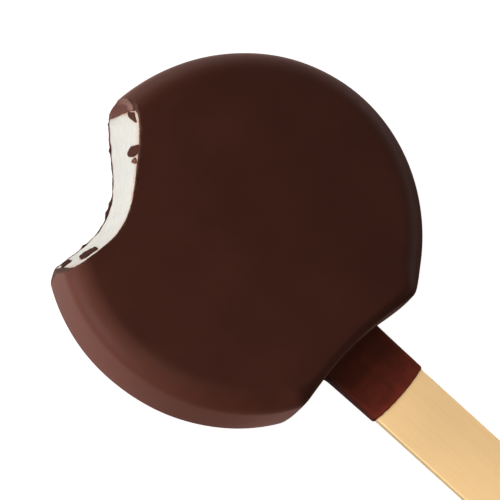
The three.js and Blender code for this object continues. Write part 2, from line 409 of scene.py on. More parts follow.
# Where the deeper bite of the front starts and is full, downward along the bite and upward.
HORN_TURN = math.radians(87), math.radians(103)
HORN_HEIGHT = 9 * MM, 19 * MM


def rim_reach(x, y, z, bite):
    """How far the wall stands into the bite near the rim: the lip, less the broken corner."""
    lip = bite.lip * smoothstep(y, bite.lip_from, bite.lip_full)
    lip = lip * smoothstep(z, 0, bite.lip_height)
    outward = x * math.cos(bite.corner_turn) + y * math.sin(bite.corner_turn)
    to_corner = outward - bite.corner_lean * z
    return lip - bite.corner_break * smoothstep(to_corner, bite.corner_from, bite.corner_full)


def bite_wall(angle, z, bite, out=0):
    """A place on the bite's wall, moved into the bite by out.

    About a centre that moves with the height the wall is a round with tooth marks,
    radius + depth * cos(2 pi (angle - turn) / mark). It is cut deeper at the horn and stands out
    near the rim.
    """
    up = z / BAR_TOP
    centre_x = blend(*bite.centre_x, up)
    centre_y = blend(*bite.centre_y, up)
    marks = np.cos((angle - blend(*bite.deepest, up)) / bite.tooth_mark * 2 * math.pi)
    radius = blend(*bite.radius, up) + blend(*bite.mark_depth, up) * marks
    x, y = centre_x + radius * np.cos(angle), centre_y + radius * np.sin(angle)
    at_horn = smoothstep(-angle, *HORN_TURN) * smoothstep(z, *HORN_HEIGHT)
    radius = radius + bite.horn_cut * at_horn - rim_reach(x, y, z, bite) - out
    x, y = centre_x + radius * np.cos(angle), centre_y + radius * np.sin(angle)
    return np.stack([x, y, z + np.zeros_like(x)], axis=-1)


def turn_along_bite(places, bite):
    """The angle along the bite at which each place lies."""
    x, y, z = places
    up = z / BAR_TOP
    return np.arctan2(y - blend(*bite.centre_y, up), x - blend(*bite.centre_x, up))


def waves(places, wavelengths, seed):
    """Smooth noise near -1 to 1: a sum of sines in seeded directions, one for each wavelength."""
    chance = np.random.default_rng(seed)
    total = 0
    for wavelength in wavelengths:
        direction = chance.normal(size=len(places))
        direction = direction / np.linalg.norm(direction) * (2 * math.pi / wavelength)
        phase = chance.uniform(0, 2 * math.pi)
        total = total + np.sin(sum(k * p for k, p in zip(direction, places)) + phase)
    return total / math.sqrt(len(wavelengths))


# Flakes of the back coat that stand out of its bitten edge: angle along the bite, width and reach.
FLAKES = (
    {"angle": -30.9, "width": 0.45, "reach": 0.35},
    {"angle": -41.9, "width": 0.4, "reach": 0.3},
    {"angle": -62.6, "width": 0.9, "reach": 0.4},
    {"angle": -66.4, "width": 1.1, "reach": 0.5},
    {"angle": -82.0, "width": 0.5, "reach": 0.3},
)
# The height at which the flakes end, and the shares of it between which they fade out.
FLAKE_HEIGHT = 1.3 * MM
FLAKE_FADE = 0.7, 1.3


def coat_edge(angle, z, bar, bite):
    """How far the coat's cut face stands into the bite: nicks and flakes, less its rounded edge.

    A flake is reach * exp(-(along / width)^2) below the height where flakes end. The edge is drawn
    back by 0.7 * rounding * (1 - depth / rounding)^2, with a rounding that varies along it.
    """
    arc = angle * bite.radius[0]
    nicks = bite.edge_nicks * waves((arc, z), (2.3 * MM, 1.1 * MM, 0.6 * MM, 0.37 * MM), seed=5)
    flakes = 0
    for flake in FLAKES:
        along = (angle - math.radians(flake["angle"])) * bite.radius[0]
        flakes = flakes + flake["reach"] * MM * np.exp(-(along / (flake["width"] * MM)) ** 2)
    flakes = flakes * (1 - smoothstep(z, *(FLAKE_HEIGHT * part for part in FLAKE_FADE)))
    places = np.moveaxis(bite_wall(angle, z, bite), -1, 0)
    depth = depth_in_bar(places, bar)
    _, from_front, _ = walls_near(places, bar)
    overhang = bite.overhang * (1 - smoothstep(from_front, 0, bar.face_coat))
    overhang = overhang - bite.set_back * (1 - smoothstep(z, bar.face_coat, 1.5 * bar.face_coat))
    uneven_round = bite.edge_round * (1 + 0.5 * waves((arc,), (3.1 * MM, 1.7 * MM), seed=8))
    to_edge = np.clip(1 - depth / uneven_round, 0, 2)
    return nicks + flakes + overhang - 0.7 * uneven_round * to_edge**2


# The filling's marks are longer up the wall than along it, by one over this.
DRAWN_OUT = 0.35


def filling_relief(angle, z, bite):
    """How far the filling's wall stands into the bite, less its recess.

    Slow waves drawn up the wall, fine ones of a third of their height, and crumbs, which are the
    square of a third set of waves where it is above nothing.
    """
    arc = angle * bite.radius[0]
    drawn = DRAWN_OUT * z
    slow = waves((arc, drawn), (7 * MM, 5 * MM, 3.6 * MM), seed=11)
    fine = waves((arc, drawn), (1.9 * MM, 1.3 * MM, 0.9 * MM, 0.6 * MM), seed=12)
    crumbs = np.maximum(0, waves((arc, drawn), (2.7 * MM, 1.6 * MM, 1.0 * MM), seed=13)) ** 2
    return bite.relief * (slow + 0.35 * fine + 0.3 * crumbs) - bite.recess


# --- the stick's form

# Half the width of the stick's very end, and the most that a ring's corners take of its half width.
NARROWEST_RING = 0.02 * MM
CORNER_SHARE = 0.8
# The skin: the share of its length in which its end rounds off and the share of its thickness left
# there, its corners' radius as a share of its half height, how far it reaches into the wood, how
# ragged its end is and how deep the streaks along it are.
SKIN_ROUNDED = 0.025
SKIN_LEFT = 0.35
SKIN_CORNER = 0.35
SKIN_IN_WOOD = 0.03 * MM
SKIN_RAGGED = 0.04 * MM
SKIN_STREAK = 0.015 * MM


def loop_round(half_width, half_height, corner, steps, flat_steps=0):
    """A rounded rectangle as points (across, up) for each half width.

    Each corner is a quarter turn of the corner's radius about a place that radius inside both
    sides. The two wide sides may have points between their corners.
    """
    flat = np.linspace(1, -1, flat_steps + 2)[1:-1]
    parts = []
    for quarter, (right, upper) in enumerate(((1, 1), (-1, 1), (-1, -1), (1, -1))):
        turns = np.linspace(0, math.pi / 2, steps) + quarter * math.pi / 2
        parts.append(np.broadcast_arrays(right, upper, np.cos(turns), np.sin(turns)))
        if right == upper:
            parts.append(np.broadcast_arrays(flat * upper, upper, 0, upper))
    centre_across, centre_up, turn_across, turn_up = np.concatenate(parts, axis=1)
    across = centre_across * (half_width - corner)[:, None] + corner[:, None] * turn_across
    up = centre_up * (half_height - corner)[:, None] + corner[:, None] * turn_up
    return across, up


def on_axis(y, stick):
    """How far along the stick, from its own middle, a place on its middle line at a y lies."""
    middle = stick.bare_end + stick.length / 2 * math.cos(stick.lean)
    return (y - middle) / math.cos(stick.lean)


def leaned(across, along, up, stick):
    """Places of the stick's own across, along and up, leaned with it into the bar's frame."""
    middle = stick.bare_end + stick.length / 2 * math.cos(stick.lean)
    cosine, sine = math.cos(stick.lean), math.sin(stick.lean)
    x = stick.offset - middle * math.tan(stick.lean) + across * cosine - along * sine
    y = middle + across * sine + along * cosine
    return np.stack([x, y, BAR_TOP / 2 + up + np.zeros_like(x)], axis=-1)


def stick_rings(stick, clearance=0.0):
    """Rings along the stick, made larger all round by a clearance.

    Each is a rounded rectangle. At an end, along = straight + half * sin t and half width =
    half * cos t, so that the end is half round.
    """
    half = stick.width / 2 + clearance
    straight = (stick.length - stick.width) / 2
    end_turn = np.linspace(-math.pi / 2, 0, 28)
    middle = np.linspace(-straight, straight, 40)[1:-1]
    along = np.concatenate([
        half * np.sin(end_turn) - straight, middle, straight - half * np.sin(end_turn[::-1])])
    width = np.concatenate([
        half * np.cos(end_turn), np.full(len(middle), half), half * np.cos(end_turn[::-1])])
    width = np.maximum(width, NARROWEST_RING)
    corner = np.minimum(stick.eased_edge, CORNER_SHARE * width)
    half_height = np.full(len(width), stick.thickness / 2 + clearance)
    across, up = loop_round(width, half_height, corner, 6)
    along = np.broadcast_to(along[:, None], across.shape)
    return leaned(across, along, up, stick)[:, ::-1]


def skin_rings(stick, bar):
    """Rings of the skin: along its outside to its end, and back along its inside.

    It thins from the bar to its end, which is rounded by a square root, and it widens into the base
    by an exponential. Its end is bowed by 1 - (2 * across / width)^2 and a little ragged.
    """
    start = on_axis(-bar.base_distance + stick.skin_root, stick)
    end = on_axis(stick.skin_end, stick)
    base = on_axis(-bar.base_distance, stick)
    part = np.linspace(0, 1, 90)
    along = blend(start, end, part)
    fillet = stick.skin_fillet * np.exp(-np.maximum(0, base - along) / stick.skin_fillet_reach)
    rounding = np.sqrt(np.clip((1 - part) / SKIN_ROUNDED, 0, 1))
    thick = blend(stick.skin_thick, stick.skin_thin, part) * blend(SKIN_LEFT, 1, rounding) + fillet
    skin = np.concatenate([thick, np.full(len(part), -SKIN_IN_WOOD)])
    along = np.concatenate([along, along[::-1]])
    half_height = stick.thickness / 2 + skin
    across, up = loop_round(
        stick.width / 2 + skin, half_height, SKIN_CORNER * half_height, 10, 36)
    bow = stick.skin_bow * (1 - (across / stick.width * 2) ** 2)
    ragged = SKIN_RAGGED * waves((across, up), (5 * MM, 2.2 * MM, 1.1 * MM), seed=21)
    toward_end = np.clip((start - along) / (start - end), 0, 1)[:, None] ** 3
    along = along[:, None] - toward_end * (bow + ragged)
    streaks = waves((across, along / 8), (2.6 * MM, 1.5 * MM, 0.9 * MM), seed=22)
    uneven = 1 + SKIN_STREAK * streaks / half_height[:, None] * (skin > 0)[:, None]
    return leaned(across, along, up * uneven, stick)


def skin_thinness(places, stick, bar):
    """How far the wood's colour comes through the skin: more down it, at its end and its sides.

    It rises straight down the skin, and by an exponential of the way to its end and to its side.
    """
    x, y, _ = places
    across = x - (stick.offset - y * math.tan(stick.lean))
    from_side = stick.width / 2 - np.abs(across) * math.cos(stick.lean)
    end_line = stick.skin_end - stick.skin_bow * (1 - (across / stick.width * 2) ** 2)
    at_end = np.exp(-np.maximum(0, y - end_line) / (0.5 * MM))
    at_side = np.exp(-np.maximum(0, from_side) / (0.45 * MM))
    down = (-bar.base_distance - y) / (-bar.base_distance - stick.skin_end)
    return 0.15 + 0.5 * down + 0.5 * at_end + 0.12 * at_side


# --- the chips' form

# The dark chips that show in the filling. Each outline is angle along the bite, in degrees, and
# height, in millimetres; light is how pale the chip is.
CHIPS = (
    {"name": "upper_wedge", "light": 0.12,
     "outline": ((-28.0, 14.1), (-28.7, 18.3), (-30.0, 18.5), (-33.0, 19.2), (-32.5, 17.9),
                 (-29.9, 14.2))},
    {"name": "lump_under_coat", "light": 0.0,
     "outline": ((-42.0, 20.9), (-42.2, 15.8), (-42.9, 15.0), (-44.8, 13.1), (-46.2, 14.0),
                 (-46.8, 17.3), (-46.3, 19.2), (-45.3, 20.9))},
    {"name": "small_crumb", "light": 0.3,
     "outline": ((-47.2, 18.9), (-48.2, 16.7), (-49.2, 17.1), (-49.9, 19.1), (-49.8, 20.4),
                 (-48.5, 19.9))},
    {"name": "long_sliver", "light": 0.0,
     "outline": ((-85.4, 12.3), (-88.1, 17.3), (-89.0, 17.9), (-92.1, 16.9), (-94.7, 17.7),
                 (-95.4, 16.0), (-91.7, 10.1), (-90.9, 9.9), (-87.6, 8.8))},
    {"name": "low_sliver", "light": 0.0,
     "outline": ((-90.6, 1.4), (-93.6, 7.9), (-95.6, 9.9), (-98.0, 10.2), (-100.0, 10.4),
                 (-97.0, 5.9), (-93.2, 2.6))},
)
# How far a chip stands out of the wall and how deep its root goes, in millimetres, how rough its
# broken face is and the number of points round it.
CHIP_PROUD = 0.22
CHIP_ROOT = 1.3
CHIP_ROUGH = 0.05 * MM
CHIP_AROUND = 72
# A chip's rings, from its root to its broken face: how far each stands out, in millimetres inside
# the wall and as a share of the proud part outside it, and its size as a share of the outline's.
CHIP_OUT = np.array([-CHIP_ROOT, -CHIP_ROOT, -0.6, 0.0, 0.6, 0.9, 1.0, 1.0, 1.0])
CHIP_SIZE = np.array([0.05, 0.45, 0.85, 1.0, 0.97, 0.88, 0.66, 0.36, 0.08])


def chip_outline(chip, bite):
    """The middle of a chip's outline, and its points about it, in millimetres along the bite and up.

    The points lie at even turns. Between two corners the radius follows the straight edge,
    a * b * sin(b turn - a turn) / (a * sin(turn - a turn) + b * sin(b turn - turn)), and a mean of
    three neighbours softens the corners.
    """
    corners = np.array(chip["outline"]) * (math.radians(1) * bite.radius[1] / MM, 1)
    middle = corners.mean(axis=0)
    arm = corners - middle
    turns = np.arctan2(arm[:, 1], arm[:, 0])
    order = np.argsort(turns)
    reach = np.hypot(arm[:, 0], arm[:, 1])[order]
    turns = turns[order]
    turn_here = np.arange(CHIP_AROUND) * (2 * math.pi / CHIP_AROUND) - math.pi
    nth = np.searchsorted(turns, turn_here) % len(turns)
    a_turn, b_turn = turns[nth - 1], turns[nth]
    a_reach, b_reach = reach[nth - 1], reach[nth]
    radius = (a_reach * b_reach * np.sin(b_turn - a_turn)
              / (a_reach * np.sin(turn_here - a_turn) + b_reach * np.sin(b_turn - turn_here)))
    padded = np.concatenate([radius[-1:], radius, radius[:1]])
    radius = np.convolve(padded, np.ones(3) / 3, mode="valid")
    return middle, radius[:, None] * np.stack([np.cos(turn_here), np.sin(turn_here)], -1)


def chip_rings(chip, bite, seed):
    """Rings of a chip, whose broken face follows the bite's wall and is a little rough."""
    middle, outline = chip_outline(chip, bite)
    flat = middle + CHIP_SIZE[:, None, None] * outline[None, ::-1]
    along, up = flat[..., 0] * MM, flat[..., 1] * MM
    out = np.where(CHIP_OUT > 0, CHIP_OUT * CHIP_PROUD, CHIP_OUT)[:, None] * MM
    rough = CHIP_ROUGH * waves((along, up), (1.6 * MM, 0.8 * MM, 0.45 * MM), seed)
    return bite_wall(along / bite.radius[1], up, bite, out + rough * (out > 0))


def near_chips(places, bite):
    """0.8 beside a chip, fading by an exponential away from it over the bite's wall."""
    along = turn_along_bite(places, bite) * bite.radius[1]
    near = np.zeros_like(along)
    for chip in CHIPS:
        middle, outline = chip_outline(chip, bite)
        arm_along = along - middle[0] * MM
        arm_up = places[2] - middle[1] * MM
        part_round = (np.arctan2(arm_up, arm_along) + math.pi) / (2 * math.pi)
        nth = (part_round * CHIP_AROUND).astype(int) % CHIP_AROUND
        away = np.hypot(arm_along, arm_up) - np.hypot(*outline[nth].T) * MM
        near = np.maximum(near, 0.8 * np.exp(-np.maximum(0, away) / CHIP_TINT_FADE))
    return near


# --- making meshes

# A cut piece with fewer faces has gone wrong, and corners nearer to each other are one.
FEWEST_FACES = 100
SAME_PLACE = 1e-8
# The room in the coat round the stick, and how soon the painted shadow on the cut coat by the filling
# fades.
STICK_ROOM = 0.1 * MM
SHADOW_FADE = 0.3 * MM
# How soon the filling's tint fades away from the coat, at the back and at the front, and from a chip.
TINT_FADES = 0.35 * MM, 1.5 * MM
CHIP_TINT_FADE = 0.35 * MM


def grid_quads(rows, columns):
    """Quads between the points of a grid whose columns close on themselves."""
    here = np.arange(columns)
    row = np.arange(rows - 1)[:, None] * columns
    start, beside = row + here, row + np.roll(here, -1)
    return np.stack([start, beside, beside + columns, start + columns], -1).reshape(-1, 4)


def mesh_object(name, points, quads, triangles=()):
    """A new smooth-shaded mesh object at the origin."""
    mesh = bpy.data.meshes.new(name)
    mesh.from_pydata(points.tolist(), [], [*quads.tolist(), *np.array(triangles).tolist()])
    mesh.validate()
    mesh.shade_smooth()
    piece = bpy.data.objects.new(name, mesh)
    bpy.context.scene.collection.objects.link(piece)
    return piece


def lofted(name, rings):
    """A closed mesh through rings, from the lowest to the highest, with a fan at each end."""
    rows, columns, _ = rings.shape
    ends = np.stack([rings[0].mean(axis=0), rings[-1].mean(axis=0)])
    points = np.vstack([rings.reshape(-1, 3), ends])
    here = np.arange(columns)
    beside = np.roll(here, -1)
    last = (rows - 1) * columns
    bottom = np.stack([np.full(columns, rows * columns), beside, here], -1)
    top = np.stack([np.full(columns, rows * columns + 1), last + here, last + beside], -1)
    return mesh_object(name, points, grid_quads(rows, columns), np.vstack([bottom, top]))


def wrapped(name, rings):
    """A closed mesh through rings that come back to the first one, as round a tube's own wall."""
    rows, columns, _ = rings.shape
    closed = grid_quads(rows + 1, columns) % (rows * columns)
    return mesh_object(name, rings.reshape(-1, 3), closed)


def bite_cutter(surface, material_index):
    """What the bite takes away: a closed mesh inside the wall that surface(angle, z) gives.

    The bite cuts the bar between the first and the last angle, in degrees. The angles and the
    heights, in millimetres, lie close together there, and elsewhere the wall is plain.
    """
    first, last, fade = -120, 20, 8
    degrees = np.concatenate([
        np.linspace(first, last, 420, endpoint=False),
        np.linspace(last, first + 360, 60, endpoint=False),
    ])
    height = np.concatenate([
        [-2, -1, -0.5],
        np.linspace(-0.2, 2, 18, endpoint=False),
        np.linspace(2, 16, 64, endpoint=False),
        np.linspace(16, 22.2, 48),
        [22.6, 23.2, 24],
    ])
    angle, z = np.meshgrid(np.radians(degrees), height * MM)
    turned = np.degrees(angle)
    seen = smoothstep(turned, first, first + fade) * (1 - smoothstep(turned, last - fade, last))
    rings = bite_wall(angle, z, bpy.context.scene.bite_sizes, surface(angle, z) * seen)
    cutter = lofted("bite", rings)
    index = np.full(len(cutter.data.polygons), material_index, dtype=np.int32)
    cutter.data.polygons.foreach_set("material_index", index)
    return cutter


def carve(piece, materials, *tools):
    """Cuts the tools out of a piece for good, and removes them. All of them share the materials."""
    for part in (piece, *tools):
        for material in materials:
            part.data.materials.append(material)
    for tool in tools:
        cut = piece.modifiers.new("cut", "BOOLEAN")
        cut.operation = "DIFFERENCE"
        cut.solver = "MANIFOLD"
        cut.object = tool
    bpy.context.view_layer.update()
    seen = piece.evaluated_get(bpy.context.evaluated_depsgraph_get())
    mesh = bpy.data.meshes.new_from_object(seen)
    if len(mesh.polygons) < FEWEST_FACES or len(mesh.materials) != len(materials):
        raise RuntimeError(f"{piece.name}: the cut went wrong")
    clear_flaps(mesh)
    uncut = piece.data
    piece.modifiers.clear()
    piece.data = mesh
    mesh.name = piece.name
    bpy.data.meshes.remove(uncut)
    for tool in tools:
        bpy.data.objects.remove(tool)


def clear_flaps(mesh):
    """Takes away triangles that lie back to back on the same three corners, as a cut may leave."""
    form = bmesh.new()
    form.from_mesh(mesh)
    bmesh.ops.remove_doubles(form, verts=form.verts, dist=SAME_PLACE)
    bmesh.ops.triangulate(form, faces=form.faces)
    form.verts.index_update()
    faces = list(form.faces)
    corners = np.sort([[corner.index for corner in face.verts] for face in faces], axis=1)
    _, which, times = np.unique(corners, axis=0, return_inverse=True, return_counts=True)
    flaps = [faces[nth] for nth in np.nonzero(times[which.ravel()] > 1)[0]]
    bmesh.ops.delete(form, geom=flaps, context="FACES")
    form.to_mesh(mesh)
    form.free()


def sharpen(piece, degrees):
    """Smooth shading, with a hard edge wherever faces meet at more than an angle."""
    piece.data.shade_smooth()
    piece.data.set_sharp_from_angle(angle=math.radians(degrees))


def vertex_places(piece):
    """The x, y and z of a piece's vertices, as three arrays."""
    places = np.zeros(len(piece.data.vertices) * 3, dtype=np.float32)
    piece.data.vertices.foreach_get("co", places)
    return places.reshape(-1, 3).T.astype(float)


def store(piece, name, values):
    """Keeps one number for each vertex, for the piece's material."""
    attribute = piece.data.attributes.new(name, "FLOAT", "POINT")
    attribute.data.foreach_set("value", np.asarray(values, dtype=np.float32))


def dress(piece, slot, *materials):
    """Gives a piece its materials, and lets it ride with the bar. The slot is not used."""
    for material in materials:
        piece.data.materials.append(material)
    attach(piece, "root")


# --- materials


class Nodes:
    """The nodes of a material or of the surroundings, in the making."""

    def __init__(self, owner):
        owner.use_nodes = True
        self.tree = owner.node_tree

    def node(self, kind, settings, sockets):
        """A node of any kind, with its settings first and then its sockets' values or links."""
        node = self.tree.nodes.new(kind)
        for name, value in settings.items():
            setattr(node, name, value)
        for name, value in sockets.items():
            self.feed(node.inputs[name], value)
        return node

    def feed(self, socket, value):
        """Links an amount or a node's output, or sets a plain value. A colour is opaque."""
        if isinstance(value, Amount):
            value = value.socket
        if isinstance(value, bpy.types.NodeSocket):
            self.tree.links.new(value, socket)
        elif socket.type == "RGBA":
            socket.default_value = (*value, 1)
        else:
            socket.default_value = value


class Amount:
    """A number in the nodes, with the arithmetic that their maths is written in."""

    def __init__(self, nodes, socket):
        self.nodes = nodes
        self.socket = socket

    def made_by(self, operation, first, second):
        """The result of a Math node on two terms."""
        node = self.nodes.node("ShaderNodeMath", {"operation": operation}, {0: first, 1: second})
        return Amount(self.nodes, node.outputs[0])

    def __add__(self, other):
        return self.made_by("ADD", self, other)

    def __radd__(self, other):
        return self.made_by("ADD", other, self)

    def __sub__(self, other):
        return self.made_by("SUBTRACT", self, other)

    def __mul__(self, other):
        return self.made_by("MULTIPLY", self, other)

    def __truediv__(self, other):
        return self.made_by("DIVIDE", self, other)

    def step(self, start, end):
        """0 below start, 1 above end and a smooth S between them."""
        node = self.nodes.node("ShaderNodeMapRange", {"interpolation_type": "SMOOTHSTEP"}, {
            "Value": self, "From Min": start, "From Max": end})
        return Amount(self.nodes, node.outputs["Result"])


class Finish(Nodes):
    """A material in the making: its nodes and its one shader."""

    def __init__(self, name, **constants):
        self.material = bpy.data.materials.new(name)
        super().__init__(self.material)
        self.shader = self.tree.nodes["Principled BSDF"]
        for socket, value in constants.items():
            self.feed(self.shader.inputs[socket.replace("_", " ")], value)

    def kept(self, name):
        """The number that store() kept on the mesh under a name."""
        node = self.node("ShaderNodeAttribute", {"attribute_name": name}, {})
        return Amount(self, node.outputs["Fac"])

    def places(self, stretch=(1, 1, 1), tilt=0.0):
        """Places on the object, turned about Z and stretched for a pattern."""
        mapping = self.node("ShaderNodeMapping", {"vector_type": "TEXTURE"}, {
            "Vector": self.node("ShaderNodeTexCoord", {}, {}).outputs["Object"],
            "Rotation": (0, 0, tilt),
            "Scale": stretch,
        })
        return mapping.outputs["Vector"]

    def height(self):
        """The place's height."""
        parts = self.node("ShaderNodeSeparateXYZ", {}, {"Vector": self.places()})
        return Amount(self, parts.outputs["Z"])

    def noise(self, feature, places=None, detail=3.0, roughness=0.5):
        """Noise from 0 to 1 with features of a length."""
        node = self.node("ShaderNodeTexNoise", {}, {
            "Vector": places or self.places(),
            "Scale": 1 / feature,
            "Detail": detail,
            "Roughness": roughness,
        })
        return Amount(self, node.outputs["Fac"])

    def mixed(self, part, first, second):
        """The colour that lies a part of the way from first to second."""
        sockets = {0: part, 6: first, 7: second}
        return self.node("ShaderNodeMix", {"data_type": "RGBA"}, sockets).outputs[2]

    def surface(self, base, roughness, bump=None, depth=0.0):
        """Feeds the shader what varies over the surface, and gives the material back."""
        self.feed(self.shader.inputs["Base Color"], base)
        self.feed(self.shader.inputs["Roughness"], roughness)
        if bump is not None:
            relief = self.node("ShaderNodeBump", {}, {"Distance": depth, "Height": bump})
            self.feed(self.shader.inputs["Normal"], relief.outputs["Normal"])
        return self.material


def toned(factor, colour_value):
    """A colour made lighter or darker by a factor."""
    return tuple(min(1, factor * part) for part in colour_value)


def chocolate_finish(colours):
    """Set dark chocolate: satin, with slow cloudy bloom and a faint pebble of fine grain."""
    finish = Finish("chocolate", Specular_IOR_Level=0.07, Sheen_Weight=0.12, Sheen_Roughness=0.4,
                    Sheen_Tint=colours.bloom)
    cloud = finish.noise(14 * MM, detail=2)
    mottle = finish.noise(2.6 * MM, detail=4, roughness=0.6)
    fine = finish.noise(0.45 * MM, detail=3)
    lighter = toned(1.22, colours.chocolate)
    base = finish.mixed((cloud * 0.7 + mottle * 0.3).step(0.3, 0.75), colours.chocolate, lighter)
    roughness = 0.47 + cloud * 0.08 + mottle * 0.05
    return finish.surface(base, roughness, fine * 0.5 + mottle, 0.02 * MM)


def cut_chocolate_finish(colours):
    """The coat's cut face: matt and crumbly, paler in the side's thick coat, darker with painted shade
    in the faces' thin coat, and with a painted shadow by the filling.
    """
    finish = Finish("cut_chocolate", Specular_IOR_Level=0.03)
    crumbs = finish.noise(0.7 * MM, detail=5, roughness=0.65)
    patches = finish.noise(2.2 * MM, detail=3, roughness=0.7)
    browner = (patches + (finish.height() / BAR_TOP - 0.72) * 1.2).step(0.42, 0.6)
    side = finish.mixed(browner, colours.cut_side, colours.cut_brown)
    # Where the coat is thin, at the front and the back, the cut face takes a colour darkened by
    # painted shade.
    pale = (finish.kept("in_side") + crumbs * 0.3 - 0.15).step(0.2, 0.8)
    broken = finish.mixed(pale, colours.shaded_cut_face, side)
    # Painted shadow on the cut face, strongest by the filling.
    shade = (finish.kept("shade_by_filling") + crumbs * 0.4 - 0.2).step(0.3, 0.9)
    base = finish.mixed(shade, broken, colours.cut_shadow)
    return finish.surface(base, 0.5 + crumbs * 0.2, crumbs, 0.05 * MM)


def skin_finish(colours, stick):
    """Thin chocolate on wood: the wood's colour comes through where it thins, streaked lengthwise."""
    finish = Finish("chocolate_skin", Specular_IOR_Level=0.08)
    along = finish.places((0.12, 1, 0.12), stick.lean)
    streaks = finish.noise(7 * MM, along, detail=4, roughness=0.6)
    mottle = finish.noise(3 * MM, detail=3)
    thin = finish.kept("thinness")
    light = (thin * 0.8 + streaks * 0.2 + mottle * 0.4 + 0.02).step(0.45, 1.25)
    base = finish.mixed(light, colours.skin_dark, colours.skin_light)
    return finish.surface(base, 0.45 + streaks * 0.15, streaks + mottle * 0.4, 0.02 * MM)


def ice_cream_finish(colours):
    """Ice cream: nearly white and matt, faintly see-through, tinted where it meets chocolate."""
    finish = Finish("ice_cream", Specular_IOR_Level=0.2, Subsurface_Weight=0.35,
                    Subsurface_Scale=1.2 * MM, Subsurface_Radius=(1.0, 0.85, 0.65))
    drawn = finish.places((1, 1, DRAWN_OUT))
    air = finish.noise(0.55 * MM, drawn, detail=4, roughness=0.6)
    cloud = finish.noise(3 * MM, drawn, detail=3)
    edge = (finish.kept("near_chocolate") + cloud * 0.2 - 0.1).step(0.05, 0.9)
    plain = finish.mixed(
        cloud.step(0.35, 0.75), colours.ice_cream, toned(0.92, colours.ice_cream))
    base = finish.mixed(edge * 0.85, plain, colours.cream_edge)
    return finish.surface(base, 0.55 + air * 0.2, air + cloud, 0.05 * MM)


def chip_finish(colours):
    """A chip's broken face: dark brown with lighter specks."""
    finish = Finish("chip", Specular_IOR_Level=0.02)
    specks = finish.noise(0.6 * MM, detail=5, roughness=0.7)
    light = (specks + finish.kept("light")).step(0.62, 0.95)
    base = finish.mixed(light, colours.chip_dark, colours.chip_light)
    return finish.surface(base, 0.8, specks, 0.1 * MM)


def wood_finish(colours, stick):
    """Birch: pale, with fine grain along the stick, a few broad figures and short darker pores, and
    sides darkened by painted shade.
    """
    finish = Finish("wood", Specular_IOR_Level=0.15)
    along = finish.places((0.035, 1, 0.035), stick.lean)
    grain = finish.noise(14 * MM, along, detail=5, roughness=0.6)
    pores = finish.noise(3 * MM, finish.places((0.06, 1, 0.06), stick.lean), detail=2)
    figure = finish.noise(40 * MM, finish.places((0.2, 1, 0.2), stick.lean), detail=2)
    dark = (grain * 0.6 + figure * 0.4).step(0.42, 0.7) * 0.35 + pores.step(0.64, 0.74) * 0.15
    face = finish.mixed(dark, colours.wood, colours.wood_grain)
    # The stick's sides take a darker copy of the wood, as painted shade.
    base = finish.mixed(finish.kept("cut_side").step(0.3, 0.7), face, colours.shaded_wood_side)
    return finish.surface(base, 0.6 + grain * 0.15, grain + pores * 0.5, 0.02 * MM)


def floor_finish(colours, glow):
    """The pale floor, with the least trace of unevenness, lit from within as a light table is."""
    finish = Finish("floor", Specular_IOR_Level=0.1, Emission_Strength=glow,
                    Emission_Color=(1, 1, 1))
    cloud = finish.noise(0.2, detail=2)
    return finish.surface(finish.mixed(cloud * 0.3, colours.floor, toned(0.98, colours.floor)), 0.9)


# --- floor, light and camera

# How far the floor reaches each way, and how far it lies under the bar so that they don't touch.
FLOOR_REACH = 1.5
FLOOR_DROP = 0.02 * MM
# The width of the camera's sensor, in millimetres.
SENSOR = 36

# The lights: turn about the bar and rise over the floor in degrees, power in watts, width and
# height in metres, and "away" in place of the usual distance. One with "only" lights nothing but
# those pieces, one with "spares" all but those, and one not "mirrored" leaves no glint.
LAMP_DISTANCE = 0.6
NEAR, LOW, MIDDLE, BROAD = (0.12, 0.12), (0.26, 0.1), (0.24, 0.16), (0.3, 0.3)
WOOD = ("wooden_stick", "stick_skin")
ROUND_THE_BAR = {"size": LOW, "spares": ("filling", "floor")}
ON_THE_COAT = {"spares": ("filling", "floor", *WOOD)}
LAMPS = (
    {"turn": 190, "rise": 50, "power": 0.198, **ROUND_THE_BAR, "size": NEAR, "away": 0.2},
    {"turn": 165, "rise": 3, "power": 3.5, "size": (0.3, 0.06), **ON_THE_COAT},
    {"turn": 163, "rise": 8, "power": 3.1, "size": (0.26, 0.2), **ON_THE_COAT, "mirrored": False},
    {"turn": 120, "rise": 8, "power": 2.4, **ROUND_THE_BAR},
    {"turn": 98, "rise": 17, "power": 1.8, **ROUND_THE_BAR},
    {"turn": 60, "rise": 10, "power": 1.2, **ROUND_THE_BAR},
    {"turn": 0, "rise": 8, "power": 0.8, **ROUND_THE_BAR},
    {"turn": 325, "rise": 15, "power": 1.0, **ROUND_THE_BAR},
    {"turn": 112, "rise": 28, "power": 0.8, "size": MIDDLE, "spares": ("filling", *WOOD)},
    {"turn": 145, "rise": 57, "power": 3.7, "size": BROAD, "only": ("filling",)},
    {"turn": 90, "rise": 50, "power": 0.45, "size": NEAR, "away": 0.25, "only": WOOD},
    {"turn": 163, "rise": 8, "power": 4.0, "size": LOW, "only": ("wooden_stick",)},
)


def build_floor(scene, stage):
    """A pale square floor that doesn't show in mirror and bounce light."""
    corners = np.array([(-1, -1, 0), (1, -1, 0), (1, 1, 0), (-1, 1, 0)]) * FLOOR_REACH
    floor = mesh_object("floor", corners - (0, 0, FLOOR_DROP), np.array([[0, 1, 2, 3]]))
    floor.data.materials.append(floor_finish(scene.bar_colours, stage.floor_glow))
    floor.visible_glossy = False
    floor.visible_diffuse = False


